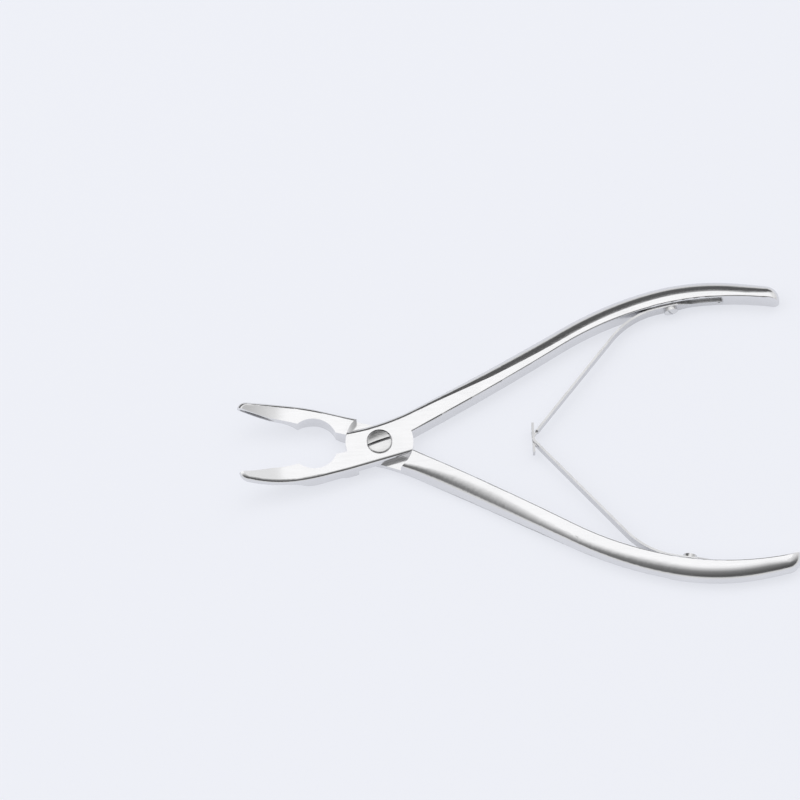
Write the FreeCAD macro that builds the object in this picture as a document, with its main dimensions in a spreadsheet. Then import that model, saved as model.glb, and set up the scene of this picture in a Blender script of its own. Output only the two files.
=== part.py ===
# Bone rongeur: two levers crossing at a screwed lap joint, cupped jaws that curve upwards, and two leaf springs.
# The frame: Z is the pivot axis, the jaws point along -X and the handles along +X, and z = 0 is the flat underside.
# Each lever is drawn closed, with its mating face on the XZ plane, and then turned open about the pivot.

import FreeCAD, Part
import math
import os
import Sketcher

from FreeCAD import Placement, Rotation, Vector

os.makedirs("parts", exist_ok=True)
doc = FreeCAD.newDocument("bone_rongeur")

# Driving dimensions, in millimetres and degrees

DIMENSIONS = {
    "half_opening": 13.9,
    "body_height": 8.0,
    "lap_level": 4.0,
    "lap_gap": 0.05,
    "lap_radial_gap": 0.1,
    "hub_reach": 12.0,
    "hub_side": 7.0,
    "jaw_reach": 51.2,
    "jaw_side": 7.4,
    "jaw_taper_start": 22.0,
    "jaw_tip_radius": 3.3,
    "mating_gap": 0.05,
    "root_gap": 0.3,
    "bite_front": 29.7,
    "bite_back": 15.9,
    "bite_depth": 3.5,
    "relief_start": 39.5,
    "relief_depth": 0.4,
    "rise_start": 12.8,
    "rise_bend_radius": 20.0,
    "rise_slope": 5.0,
    "curl_start": 32.0,
    "curl_radius": 41.0,
    "jaw_underside": 1.6,
    "jaw_step_end": 17.0,
    "scoop_start": 24.5,
    "scoop_bend_radius": 8.0,
    "scoop_crown_radius": 10.0,
    "cup_height": 3.0,
    "cup_wall": 0.45,
    "cup_hollow_depth": 2.6,
    "cup_hollow_back": 37.4,
    "crotch_height": 0.5,
    "handle_lead_angle": 13.4,
    "handle_lead_radius": 1000.0,
    "handle_slope": 17.0,
    "handle_bow_radius": 118.0,
    "handle_tail_radius": 108.0,
    "handle_reach": 153.0,
    "back_blend_start": -2.0,
    "back_blend_radius": 80.0,
    "back_lead_angle": 13.2,
    "back_lead_radius": 952.0,
    "back_slope": 16.8,
    "back_bow_radius": 124.0,
    "tail_thickness": 5.6,
    "hub_round": 1.2,
    "jaw_round": 1.2,
    "jaw_under_round": 0.7,
    "handle_round": 3.3,
    "grip_edge_round": 0.5,
    "screw_head_diameter": 9.0,
    "screw_head_height": 1.55,
    "screw_head_dome": 0.5,
    "screw_head_gap": 0.12,
    "screw_shank_diameter": 5.0,
    "screw_running_gap": 0.05,
    "screw_thread_diameter": 4.5,
    "thread_gap": 0.02,
    "screw_tail_recess": 0.15,
    "screw_slot_width": 0.75,
    "screw_slot_depth": 0.8,
    "screw_slot_angle": 15.0,
    "leaf_thickness": 0.8,
    "leaf_level": 4.0,
    "leaf_seat_gap": 0.04,
    "leaf_root_width": 5.2,
    "leaf_tail_width": 2.6,
    "leaf_front_width": 3.6,
    "leaf_tail_margin": 1.5,
    "leaf_root_length": 2.6,
    "leaf_tail_taper": 8.0,
    "leaf_lift_off": 5.0,
    "leaf_bend_radius": 30.0,
    "leaf_joint_reach": 54.5,
    "leaf_corner_offset": 0.9,
    "leaf_corner_radius": 2.0,
    "leaf_tab_length": 5.6,
    "leaf_neck_width": 1.5,
    "leaf_neck_reach": 2.6,
    "leaf_slot_width": 2.0,
    "leaf_slot_reach": 2.8,
    "leaf_joint_zone": 6.0,
    "spring_screw_reach": 115.0,
    "spring_screw_diameter": 3.0,
    "spring_screw_depth": 4.0,
    "spring_screw_gap": 0.05,
    "spring_head_diameter": 5.0,
    "spring_head_height": 1.2,
    "spring_head_dome": 0.5,
    "spring_slot_width": 0.6,
    "spring_slot_depth": 0.6,
    "spring_slot_angle": 25.0,
    "pin_diameter": 1.2,
    "pin_overhang": 17.6,
    "pin_depth": 2.5,
    "pin_stand_out": 0.4,
    "pin_gap": 0.02,
}

sheet = doc.addObject("Spreadsheet::Sheet", "sizes")
for row, (alias, value) in enumerate(DIMENSIONS.items(), start=1):
    sheet.set(f"A{row}", alias)
    sheet.set(f"B{row}", str(value))
    sheet.setAlias(f"B{row}", alias)
doc.recompute()


def size(alias):
    """The value that the sheet holds under an alias."""
    return float(sheet.get(alias))


def bind(item, prop, formula):
    """Ties a size of an object to the sheet."""
    item.setExpression(prop, formula)


# How far cuts run past the piece that they trim, the share of the handle's rounding that is reached where the
# back leaves the hub, the pin's crown as a share of its radius, and how close counts as touching

SPARE = 20.0
TIP_SPARE = 2.0
BLEND_SHARE = 0.2
PIN_CROWN = 0.5
TOUCH = 0.001

# Plane curves: points and headings of tangent arcs, in a lever's own closed frame


def radial(centre, radius, angle):
    """The point at an angle in degrees on a circle."""
    turn = math.radians(angle)
    return Vector(centre.x + radius * math.cos(turn), centre.y + radius * math.sin(turn), 0)


def arc_from(start, heading, turn, radius):
    """An arc that leaves start at a heading and turns by an angle, left if it is positive; all in degrees."""
    side = 90.0 if turn > 0 else -90.0
    centre = radial(start, radius, heading + side)
    middle = radial(centre, radius, heading - side + turn / 2)
    end = radial(centre, radius, heading - side + turn)
    return ("arc", start, middle, end), end, heading + turn


def arc_about(start, end, centre, far=False):
    """The short arc about a centre from start to end."""
    middle = (start + end) * 0.5 - centre
    radius = (start - centre).Length
    middle.normalize()
    return ("arc", start, centre + middle * (-radius if far else radius), end)


def line(start, end):
    return ("line", start, end)


def mirrored(path, side):
    """The path itself for side 1, and its mirror image in the XZ plane for side -1."""
    flip = lambda p: Vector(p.x, p.y * side, p.z)
    return [(kind, *[flip(p) for p in points]) for kind, *points in path]


def draw(sketch, path):
    """Draws a closed chain of lines and arcs, each joined to the next."""
    curves = [line_curve(*points) if kind == "line" else arc_curve(*points) for kind, *points in path]
    sketch.addGeometry(curves, False)
    joins = []
    for index, (kind, *points) in enumerate(path):
        following = (index + 1) % len(path)
        own = nearest_end(curves[index], points[-1])
        other = nearest_end(curves[following], points[-1])
        joins.append(Sketcher.Constraint("Coincident", index, own, following, other))
    sketch.addConstraint(joins)


def line_curve(start, end):
    return Part.LineSegment(start, end)


def arc_curve(start, middle, end):
    """The arc through three points, written anticlockwise."""
    through = Part.Arc(start, middle, end).toShape().Curve
    circle = Part.Circle(through.Center, Vector(0, 0, 1), through.Radius)
    turns_left = (middle - start).cross(end - middle).z > 0
    first, last = (start, end) if turns_left else (end, start)
    return Part.ArcOfCircle(circle, circle.parameter(first), circle.parameter(last))


def nearest_end(curve, place):
    """Which end of a curve lies at a place: 1 for its start and 2 for its end."""
    to_start = (curve.StartPoint - place).Length
    to_end = (curve.EndPoint - place).Length
    return 1 if to_start < to_end else 2


def plane_of(body, role):
    return next(item for item in body.Origin.OriginFeatures if item.Role == role)


def add_sketch(body, name, role, offset=None):
    """A sketch on one of the body's own origin planes, moved off it where an offset placement is given."""
    sketch = body.newObject("Sketcher::SketchObject", name)
    sketch.AttachmentSupport = [(plane_of(body, role), "")]
    sketch.MapMode = "FlatFace"
    if offset:
        sketch.AttachmentOffset = offset
    return sketch


def new_body(name):
    body = doc.addObject("PartDesign::Body", name)
    body.Label = name
    return body


def volume_of(item):
    doc.recompute()
    return item.Shape.Volume


def cut_checked(body, feature):
    """Makes sure that a cut removes material."""
    body.Tip = feature
    before = feature.BaseFeature.Shape.Volume if feature.BaseFeature else 0.0
    after = volume_of(feature)
    if not after < before:
        raise RuntimeError(f"{feature.Name} removes nothing")
    return feature


# The handle's grip edge and back edge


def grip_path():
    """The handle's inner edge, from the crotch to the handle's end, as tangent arcs."""
    crotch = Vector(math.sqrt(size("hub_reach") ** 2 - size("crotch_height") ** 2), size("crotch_height"), 0)
    lead = size("handle_slope") - size("handle_lead_angle")
    first, place, heading = arc_from(crotch, size("handle_lead_angle"), lead, size("handle_lead_radius"))
    second, place, heading = arc_from(place, heading, -size("handle_slope"), size("handle_bow_radius"))
    reach = size("handle_reach") - place.x
    droop = math.degrees(math.asin(reach / size("handle_tail_radius")))
    third, place, heading = arc_from(place, heading, -droop, size("handle_tail_radius"))
    return [first, second, third], heading


def back_path(end_point, end_heading):
    """The handle's outer edge from the hub to the end cap, whose quarter round meets the grip edge's end."""
    start = Vector(size("back_blend_start"), size("hub_side"), 0)
    blend, place, heading = arc_from(start, 0.0, size("back_lead_angle"), size("back_blend_radius"))
    lead_turn = size("back_slope") - size("back_lead_angle")
    lead, place, heading = arc_from(place, heading, lead_turn, size("back_lead_radius"))
    bow, place, heading = arc_from(place, heading, -size("back_slope"), size("back_bow_radius"))
    cap_radius = size("tail_thickness")
    cap_centre = radial(end_point, cap_radius, end_heading + 180.0)
    cap_start = radial(cap_centre, cap_radius, end_heading + 90.0)
    middle = tangent_middle(place, heading, cap_start)
    cap = ("arc", cap_start, radial(cap_centre, cap_radius, end_heading + 45.0), end_point)
    return start, [blend, lead, bow, ("arc", place, middle, cap_start), cap]


def tangent_middle(start, heading, end):
    """The middle point of the arc that leaves start at a heading and runs to end."""
    chord = end - start
    chord_angle = math.degrees(math.atan2(chord.y, chord.x))
    half_turn = chord_angle - heading
    sagitta = chord.Length / 2 * math.tan(math.radians(half_turn / 2))
    across = Vector(chord.y, -chord.x, 0)
    across.normalize()
    return (start + end) * 0.5 + across * sagitta


# The levers


def lever_outline():
    """Plan of the lever whose jaw lies on the -Y side and whose handle lies on the +Y side, when closed.

    Each entry names its stretch of the edge, and then gives its curve.
    """
    origin = Vector(0, 0, 0)
    side = size("hub_side")
    corner = math.sqrt(size("hub_reach") ** 2 - side ** 2)
    front_corner = Vector(-corner, side, 0)
    rear_corner = Vector(corner, -side, 0)
    grip, end_heading = grip_path()
    crotch = grip[0][1]
    back_start, back = back_path(grip[-1][-1], end_heading)

    mating = -size("mating_gap") / 2
    taper_start = Vector(-size("jaw_taper_start"), -size("jaw_side"), 0)
    square = (taper_start - rear_corner).cross(Vector(0, 0, 1))
    square.normalize()
    tip = Vector(-size("jaw_reach"), mating, 0)
    tip_radius = size("jaw_tip_radius")
    tip_centre = tip + Vector(tip_radius, 0, 0)
    across = tip_centre - taper_start
    taper_radius = (across.dot(across) - tip_radius ** 2) / (2 * (across.dot(square) - tip_radius))
    taper_centre = taper_start + square * taper_radius
    spoke = tip_centre - taper_centre
    spoke.normalize()
    taper_end = taper_centre + spoke * taper_radius

    root = -size("root_gap")
    relief = mating - size("relief_depth")
    relief_start = Vector(-size("relief_start"), mating, 0)
    bite_front = Vector(-size("bite_front"), relief, 0)
    relief_middle = Vector((relief_start.x + bite_front.x) / 2, relief, 0)
    bite_back = Vector(-size("bite_back"), root, 0)
    bite_top = (bite_front + bite_back) * 0.5 + Vector(0, -size("bite_depth"), 0)
    hub_front = Vector(-math.sqrt(size("hub_reach") ** 2 - root ** 2), root, 0)

    back_names = ["back_blend", "back_lead", "back", "back", "back"]
    path = [("hub_back", line(front_corner, back_start))]
    path += list(zip(back_names, back))
    path += [("grip", (kind, end, middle, start)) for kind, start, middle, end in reversed(grip)]
    path += [
        ("hub_rear", arc_about(crotch, rear_corner, origin)),
        ("jaw", line(rear_corner, taper_start)),
        ("jaw", arc_about(taper_start, taper_end, taper_centre)),
        ("jaw", arc_about(taper_end, tip, tip_centre)),
        ("mating", line(tip, relief_start)),
        ("relief", ("arc", relief_start, relief_middle, bite_front)),
        ("bite", ("arc", bite_front, bite_top, bite_back)),
        ("root", line(bite_back, hub_front)),
        ("hub_front", arc_about(hub_front, front_corner, origin)),
    ]
    return path


def rise_line():
    """Side view of the jaw's top: its bend out of the hub's level, its straight rise, and its curl's centre."""
    start = Vector(-size("rise_start"), size("body_height"), 0)
    bend, rise_start, _ = arc_from(start, 180.0, -size("rise_slope"), size("rise_bend_radius"))
    slope = math.radians(size("rise_slope"))
    run = size("curl_start") + rise_start.x
    curl_start = rise_start + Vector(-run, run * math.tan(slope), 0)
    centre = curl_start + Vector(math.sin(slope), math.cos(slope), 0) * size("curl_radius")
    return [bend, line(rise_start, curl_start)], centre


def curl_height(reach, drop):
    """Height of the jaw's curling top at a distance from the pivot, or of a curve that lies below it by drop."""
    _, centre = rise_line()
    return centre.y - math.sqrt((size("curl_radius") + drop) ** 2 - (-reach - centre.x) ** 2)


def above_profile():
    """Side view of what is cut away above the lever."""
    top = size("body_height")
    rise, centre = rise_line()
    start = rise[0][1]
    curl_start = rise[-1][-1]
    reach = size("jaw_reach") + TIP_SPARE
    end = Vector(-reach, curl_height(reach, 0.0), 0)
    high = top + size("curl_radius") + SPARE
    back = size("handle_reach") + SPARE
    return [
        *rise,
        arc_about(curl_start, end, centre),
        *corners_to(end, [(end.x, high), (back, high), (back, top)], start),
    ]


def below_profile():
    """Side view of the step under the jaw, the scoop that thins it to its cup, and the cup's curling underside."""
    level = size("jaw_underside")
    hub = Vector(-size("rise_start"), 0, 0)
    step_end = Vector(-size("jaw_step_end"), level, 0)
    scoop_start = Vector(-size("scoop_start"), level, 0)
    _, centre = rise_line()
    under_radius = size("curl_radius") + size("cup_height")
    bend_radius = size("scoop_bend_radius")
    crown_radius = size("scoop_crown_radius")
    bend_centre = scoop_start + Vector(0, bend_radius, 0)
    crown_centre = meeting(bend_centre, bend_radius + crown_radius, centre, under_radius + crown_radius)
    bend_end = towards(bend_centre, crown_centre, bend_radius)
    crown_end = towards(crown_centre, centre, crown_radius)
    reach = size("jaw_reach") + TIP_SPARE
    end = Vector(-reach, curl_height(reach, size("cup_height")), 0)
    return [
        *s_bend(hub, step_end),
        line(step_end, scoop_start),
        arc_about(scoop_start, bend_end, bend_centre),
        arc_about(bend_end, crown_end, crown_centre),
        arc_about(crown_end, end, centre),
        *corners_to(end, [(end.x, -SPARE), (hub.x, -SPARE)], hub),
    ]


def s_bend(start, end):
    """Two equal arcs that step up from one level to another on the way along -X."""
    step = end - start
    turn = 2 * math.degrees(math.atan2(step.y, -step.x))
    radius = step.Length / (4 * math.sin(math.radians(turn / 2)))
    first, place, heading = arc_from(start, 180.0, -turn, radius)
    second, _, _ = arc_from(place, heading, turn, radius)
    return [first, second]


def meeting(first, first_reach, second, second_reach):
    """The point at given distances from two others, on the left of the way from the first to the second."""
    ahead = second - first
    gap = ahead.Length
    ahead.normalize()
    along = (first_reach ** 2 - second_reach ** 2 + gap ** 2) / (2 * gap)
    across = math.sqrt(first_reach ** 2 - along ** 2)
    return first + ahead * along + Vector(-ahead.y, ahead.x, 0) * across


def towards(start, end, distance):
    """The point at a distance from start on the way to end."""
    ahead = end - start
    ahead.normalize()
    return start + ahead * distance


def corners_to(start, corners, end):
    """Straight lines from start through corners to end."""
    stops = [start, *[Vector(x, y, 0) for x, y in corners], end]
    return [line(first, second) for first, second in zip(stops, stops[1:])]


def add_pocket(body, name, sketch, depth_formula=None, upwards=False):
    """Cuts a sketch through the whole body both ways, or to a depth on one side of its plane."""
    pocket = body.newObject("PartDesign::Pocket", name)
    pocket.Profile = sketch
    if depth_formula:
        pocket.Type = "Length"
        bind(pocket, "Length", depth_formula)
        pocket.Reversed = upwards
    else:
        pocket.Type = "ThroughAll"
        pocket.Midplane = True
    return cut_checked(body, pocket)


def add_circle_sketch(body, name, radius_formula, height_formula=None):
    """A circle about the pivot axis, level with the underside or at a height."""
    sketch = add_sketch(body, name, "XY_Plane")
    if height_formula:
        bind(sketch, "AttachmentOffset.Base.z", height_formula)
    sketch.addGeometry(Part.Circle(Vector(0, 0, 0), Vector(0, 0, 1), 1.0), False)
    sketch.addConstraint(Sketcher.Constraint("Coincident", 0, 3, -1, 1))
    sketch.addConstraint(Sketcher.Constraint("Radius", 0, 1.0))
    bind(sketch, "Constraints[1]", radius_formula)
    return sketch


def add_bore(body, name, place, inward, radius_formula, depth_formula):
    """A round hole into the body, square to the surface at place, whose mouth is open outside it."""
    bore = body.newObject("PartDesign::SubtractiveCylinder", name)
    bind(bore, "Radius", radius_formula)
    bind(bore, "Height", f"{depth_formula} + {SPARE}")
    bore.Placement = Placement(place - inward * SPARE, Rotation(Vector(0, 0, 1), inward))
    return cut_checked(body, bore)


def lever_blank(name, side, lap_is_below):
    """The lever's bar in plan, cut to its side view and to its half of the lap."""
    body = new_body(name + "_blank")
    outline = add_sketch(body, name + "_outline", "XY_Plane")
    draw(outline, mirrored([curve for _, curve in lever_outline()], side))
    pad = body.newObject("PartDesign::Pad", name + "_bar")
    pad.Profile = outline
    bind(pad, "Length", "sizes.body_height + sizes.curl_radius")
    body.Tip = pad
    doc.recompute()
    above = add_sketch(body, name + "_above", "XZ_Plane")
    draw(above, above_profile())
    add_pocket(body, name + "_top_cut", above)
    below = add_sketch(body, name + "_below", "XZ_Plane")
    draw(below, below_profile())
    add_pocket(body, name + "_under_cut", below)
    lap_radius = "sizes.hub_reach + sizes.lap_radial_gap"
    if lap_is_below:
        lap = add_circle_sketch(body, name + "_lap_edge", lap_radius)
        add_pocket(body, name + "_lap", lap, "sizes.lap_level + sizes.lap_gap", upwards=True)
    else:
        lap = add_circle_sketch(body, name + "_lap_edge", lap_radius, "sizes.body_height")
        add_pocket(body, name + "_lap", lap, "sizes.body_height - sizes.lap_level")
    return body


def round_radii(stretch):
    """Radius of the rounding along a stretch of the lever's edge, at its start and at its end."""
    hub = size("hub_round")
    blend = hub + (size("handle_round") - hub) * BLEND_SHARE
    handle = size("handle_round")
    return {
        "hub_back": (hub, hub),
        "back_blend": (hub, blend),
        "back_lead": (blend, handle),
        "back": (handle, handle),
        "grip": (size("grip_edge_round"),) * 2,
        "jaw": (size("jaw_round"),) * 2,
        "jaw_under": (size("jaw_under_round"),) * 2,
    }.get(stretch)


def rounded_bar(name, blank, side):
    """The bar with its back, grip and jaw edges rounded, the back's rounding growing along the handle."""
    doc.recompute()
    outline = lever_outline()
    curves = mirrored([curve for _, curve in outline], side)
    plan = [(stretch, curve[1], plan_edge(curve)) for (stretch, _), curve in zip(outline, curves)]
    edges = []
    for number, edge in enumerate(blank.Shape.Edges, start=1):
        first = edge.valueAt(edge.FirstParameter)
        last = edge.valueAt(edge.LastParameter)
        middle = edge.valueAt((edge.FirstParameter + edge.LastParameter) / 2)
        upright = flat(first).distanceToPoint(flat(last)) < TOUCH
        if upright or abs(middle.z - size("lap_level")) < size("lap_gap") + TOUCH:
            continue
        for stretch, start, curve in plan:
            spots = [flat(first), flat(middle), flat(last)]
            if all(curve.distToShape(Part.Vertex(spot))[0] < TOUCH for spot in spots):
                if stretch == "jaw" and middle.z < under_middle(-middle.x):
                    stretch = "jaw_under"
                radii = round_radii(stretch)
                if radii:
                    forward = (flat(first) - start).Length < (flat(last) - start).Length
                    near, far = radii if forward else reversed(radii)
                    if edge.Orientation == "Reversed":
                        near, far = far, near
                    edges.append((number, near, far))
                break
    rounding = doc.addObject("Part::Fillet", name + "_rounded")
    rounding.Base = blank
    rounding.Edges = edges
    doc.recompute()
    return rounding


def under_middle(reach):
    """A height between the jaw's underside and its top, at a distance from the pivot."""
    if reach < size("curl_start"):
        return size("body_height") / 2 + size("jaw_underside")
    return curl_height(reach, size("cup_height") / 2)


def plan_edge(curve):
    kind, *points = curve
    if kind == "line":
        return Part.LineSegment(*points).toShape()
    return Part.Arc(*points).toShape()


def flat(point):
    return Vector(point.x, point.y, 0)


def on_grip(reach):
    """The point of the grip edge at a distance along X, and the direction from there into the handle."""
    for kind, start, middle, end in grip_path()[0]:
        if reach <= end.x:
            break
    circle = Part.Arc(start, middle, end).toShape().Curve
    rise = math.sqrt(circle.Radius ** 2 - (reach - circle.Center.x) ** 2)
    sign = 1.0 if middle.y > circle.Center.y else -1.0
    place = Vector(reach, circle.Center.y + sign * rise, 0)
    into = (place - circle.Center) * sign
    into.normalize()
    return place, into


def raised(point, height):
    return Vector(point.x, point.y, height)


def sided(point, side):
    return Vector(point.x, point.y * side, point.z)


def lever(name, side, lap_is_below):
    """A finished lever, with its half of the lap, its screw hole, its cup and the holes for its spring."""
    blank = lever_blank(name, side, lap_is_below)
    rounding = rounded_bar(name, blank, side)
    body = new_body(name)
    body.BaseFeature = rounding
    doc.recompute()

    if lap_is_below:
        seat_radius = "sizes.screw_head_diameter / 2 + sizes.screw_head_gap"
        seat = add_circle_sketch(body, name + "_seat_edge", seat_radius, "sizes.body_height")
        add_pocket(body, name + "_screw_seat", seat, "sizes.screw_head_height")
        hole_radius = "sizes.screw_shank_diameter / 2 + sizes.screw_running_gap"
    else:
        hole_radius = "sizes.screw_thread_diameter / 2 + sizes.thread_gap"
    hole = add_circle_sketch(body, name + "_hole_edge", hole_radius)
    add_pocket(body, name + "_screw_hole", hole)

    add_cup(body, name)
    level = size("leaf_level")
    place, into = on_grip(size("spring_screw_reach"))
    add_bore(body, name + "_spring_screw_hole", raised(sided(place, side), level), sided(into, side),
             "sizes.spring_screw_diameter / 2 + sizes.thread_gap", "sizes.spring_screw_depth")
    place, into = on_grip(size("spring_screw_reach") + size("pin_overhang"))
    add_bore(body, name + "_pin_hole", raised(sided(place, side), level), sided(into, side),
             "sizes.pin_diameter / 2 + sizes.pin_gap", "sizes.pin_depth")
    body.Placement = opened(side)
    return body


def opened(side):
    """The turn about the pivot that opens a lever."""
    return Placement(Vector(0, 0, 0), Rotation(Vector(0, 0, 1), side * size("half_opening")))


def add_cup(body, name):
    """The oval hollow in the mating face at the jaw's tip, tilted with the rising jaw."""
    front = size("jaw_reach") - size("cup_wall")
    reach = (front + size("cup_hollow_back")) / 2
    drop = size("cup_height") / 2
    _, curl_centre = rise_line()
    slope = math.degrees(math.asin((reach + curl_centre.x) / (size("curl_radius") + drop)))
    centre = Vector(-reach, 0, curl_height(reach, drop))
    cup = body.newObject("PartDesign::SubtractiveEllipsoid", name + "_cup")
    bind(cup, "Radius1", "sizes.cup_height / 2 - sizes.cup_wall")
    bind(cup, "Radius2", "(sizes.jaw_reach - sizes.cup_wall - sizes.cup_hollow_back) / 2")
    bind(cup, "Radius3", "sizes.cup_hollow_depth")
    cup.Placement = Placement(centre, Rotation(Vector(0, 1, 0), slope))
    cut_checked(body, cup)


# Turned pieces: screws and pins, drawn on their own axis


def turned(name, outline, placement, slot=None):
    """A piece turned about its axis from an outline, with a driver's slot across its top if slot is given."""
    body = new_body(name)
    profile = add_sketch(body, name + "_profile", "XZ_Plane")
    draw(profile, outline)
    turning = body.newObject("PartDesign::Revolution", name + "_turning")
    turning.Profile = profile
    turning.ReferenceAxis = (profile, ["V_Axis"])
    turning.Angle = 360.0
    body.Tip = turning
    doc.recompute()
    if slot:
        width, depth, top, radius = slot
        groove = add_sketch(body, name + "_slot_edge", "XZ_Plane")
        low = top - depth
        half = width / 2
        draw(groove, corners_to(Vector(-half, low, 0), [(half, low), (half, top + SPARE), (-half, top + SPARE)],
                                Vector(-half, low, 0)))
        add_pocket(body, name + "_slot", groove)
    body.Placement = placement
    return body


def screw_outline(stem, head_level, head_radius, head_height, dome):
    """Half outline of a screw: a stem given as (radius, height) corners from its tip, and a domed head."""
    rim = head_level + head_height
    corners = [*stem, (stem[-1][0], head_level), (head_radius, head_level)]
    return domed_outline(corners, head_radius, rim, dome)


def domed_outline(corners, radius, rim, dome):
    """Half outline of a turned piece: corners up from its tip on the axis, a straight rim, and a domed top."""
    top = Vector(0, rim + dome, 0)
    edge = Vector(radius, rim, 0)
    dome_radius = (radius ** 2 + dome ** 2) / (2 * dome)
    crown = arc_about(edge, top, top - Vector(0, dome_radius, 0))
    first = Vector(0, corners[0][1], 0)
    return [*corners_to(first, corners, edge), crown, line(top, first)]


def pivot_screw():
    head_level = size("body_height") - size("screw_head_height") + size("lap_gap")
    head_height = size("body_height") - head_level
    thread = size("screw_thread_diameter") / 2
    shank = size("screw_shank_diameter") / 2
    step = size("lap_level")
    stem = [(thread, size("screw_tail_recess")), (thread, step), (shank, step)]
    outline = screw_outline(stem, head_level, size("screw_head_diameter") / 2, head_height,
                            size("screw_head_dome"))
    top = size("body_height") + size("screw_head_dome")
    slot = (size("screw_slot_width"), size("screw_slot_depth"), top, size("screw_head_diameter"))
    across = Rotation(Vector(0, 0, 1), size("screw_slot_angle") - 90.0)
    return turned("pivot_screw", outline, Placement(Vector(0, 0, 0), across), slot)


def on_handle(reach, side):
    """Placement of a piece that stands square on the grip face: its own Z axis points away from the handle."""
    place, into = on_grip(reach)
    seat = raised(sided(place, side), size("leaf_level"))
    away = sided(into, side) * -1.0
    upright = Placement(seat, Rotation(Vector(0, 0, 1), away))
    return opened(side).multiply(upright)


def spring_screw(name, side):
    head_level = size("leaf_seat_gap") + size("leaf_thickness") + size("leaf_seat_gap")
    radius = size("spring_screw_diameter") / 2
    tip_gap = size("spring_screw_gap")
    stem = [(radius, -size("spring_screw_depth") + tip_gap)]
    outline = screw_outline(stem, head_level, size("spring_head_diameter") / 2, size("spring_head_height"),
                            size("spring_head_dome"))
    top = head_level + size("spring_head_height") + size("spring_head_dome")
    slot = (size("spring_slot_width"), size("spring_slot_depth"), top, size("spring_head_diameter"))
    twist = Placement(Vector(0, 0, 0), Rotation(Vector(0, 0, 1), size("spring_slot_angle")))
    placement = on_handle(size("spring_screw_reach"), side).multiply(twist)
    return turned(name, outline, placement, slot)


def locating_pin(name, side):
    radius = size("pin_diameter") / 2
    head = size("leaf_seat_gap") + size("leaf_thickness") + size("pin_stand_out")
    rim = head - radius * PIN_CROWN
    foot = (radius, -size("pin_depth") + size("pin_gap"))
    outline = domed_outline([foot], radius, rim, radius * PIN_CROWN)
    placement = on_handle(size("spring_screw_reach") + size("pin_overhang"), side)
    return turned(name, outline, placement)


# Leaf springs, drawn open, as they lie at rest


def turn_point(point, angle):
    return Rotation(Vector(0, 0, 1), angle).multVec(point)


def leaf_line():
    """Centre line of the leaf on the +Y handle, from its tail along the handle and down to the joint."""
    stand_off = size("leaf_seat_gap") + size("leaf_thickness") / 2
    screw = size("spring_screw_reach")
    tail = screw + size("pin_overhang") + size("leaf_tail_margin")
    lift = screw - size("leaf_lift_off")
    opening = size("half_opening")
    seat = [turn_point(on_leaf(reach, stand_off), opening) for reach in (tail, (tail + lift) / 2, lift)]
    seat_circle = Part.Arc(*seat).toShape().Curve
    spoke = seat[-1] - seat_circle.Center
    spoke.normalize()
    bend_radius = size("leaf_bend_radius")
    bend_centre = seat[-1] - spoke * bend_radius
    corner = Vector(size("leaf_joint_reach"), size("leaf_corner_offset"), 0)
    aim = corner - bend_centre
    aim_angle = math.degrees(math.atan2(aim.y, aim.x))
    release_angle = aim_angle - math.degrees(math.acos(bend_radius / aim.Length))
    release = radial(bend_centre, bend_radius, release_angle)
    heading = release_angle + 90.0
    last_turn = 270.0 - heading % 360.0
    corner_radius = size("leaf_corner_radius")
    setback = corner_radius * math.tan(math.radians(last_turn / 2))
    corner_start = corner - radial(Vector(0, 0, 0), setback, heading)
    corner_arc, corner_end, _ = arc_from(corner_start, heading, last_turn, corner_radius)
    tab_end = Vector(corner.x, -size("leaf_tab_length"), 0)
    return [
        ("arc", *seat),
        arc_about(seat[-1], release, bend_centre),
        line(release, corner_start),
        corner_arc,
        line(corner_end, tab_end),
    ]


def on_leaf(reach, stand_off):
    place, into = on_grip(reach)
    return place - into * stand_off


def strip(path, thickness):
    """Outline of a strip of even thickness along a path of tangent lines and arcs."""
    left = [beside(curve, thickness / 2) for curve in path]
    right = [beside(curve, -thickness / 2) for curve in path]
    back = [(kind, *reversed(points)) for kind, *points in reversed(right)]
    return [*left, line(left[-1][-1], right[-1][-1]), *back, line(right[0][1], left[0][1])]


def beside(curve, distance):
    """A line or an arc moved to its left by a distance."""
    kind, *points = curve
    if kind == "line":
        along = points[1] - points[0]
        across = Vector(-along.y, along.x, 0)
        across.normalize()
        return ("line", *[point + across * distance for point in points])
    circle = Part.Arc(*points).toShape().Curve
    turns_left = (points[1] - points[0]).cross(points[2] - points[1]).z > 0
    scale = 1 - distance / circle.Radius if turns_left else 1 + distance / circle.Radius
    return ("arc", *[circle.Center + (point - circle.Center) * scale for point in points])


def leaf_side_profile(up):
    """Side view of what is cut away above a leaf (up is 1) or below it (up is -1), on its tail and its front."""
    level = size("leaf_level")
    tail_half = size("leaf_tail_width") / 2
    root_half = size("leaf_root_width") / 2
    front_half = size("leaf_front_width") / 2
    screw = open_reach(size("spring_screw_reach"))
    tail = open_reach(size("spring_screw_reach") + size("pin_overhang") + size("leaf_tail_margin"))
    end = Vector(tail, level, 0)
    shoulder = Vector(tail - tail_half, level + up * tail_half, 0)
    centre = Vector(tail - tail_half, level, 0)
    front = size("leaf_joint_reach") - SPARE
    high = level + up * (root_half + SPARE)
    return [
        arc_about(end, shoulder, centre),
        *corners_to(shoulder, [
            (screw + size("leaf_tail_taper"), level + up * tail_half),
            (screw + size("leaf_root_length"), level + up * root_half),
            (screw - size("leaf_root_length"), level + up * root_half),
            (size("leaf_joint_reach"), level + up * front_half),
            (front, level + up * front_half),
            (front, high),
            (tail + SPARE, high),
            (tail + SPARE, level),
        ], end),
    ]


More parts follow.
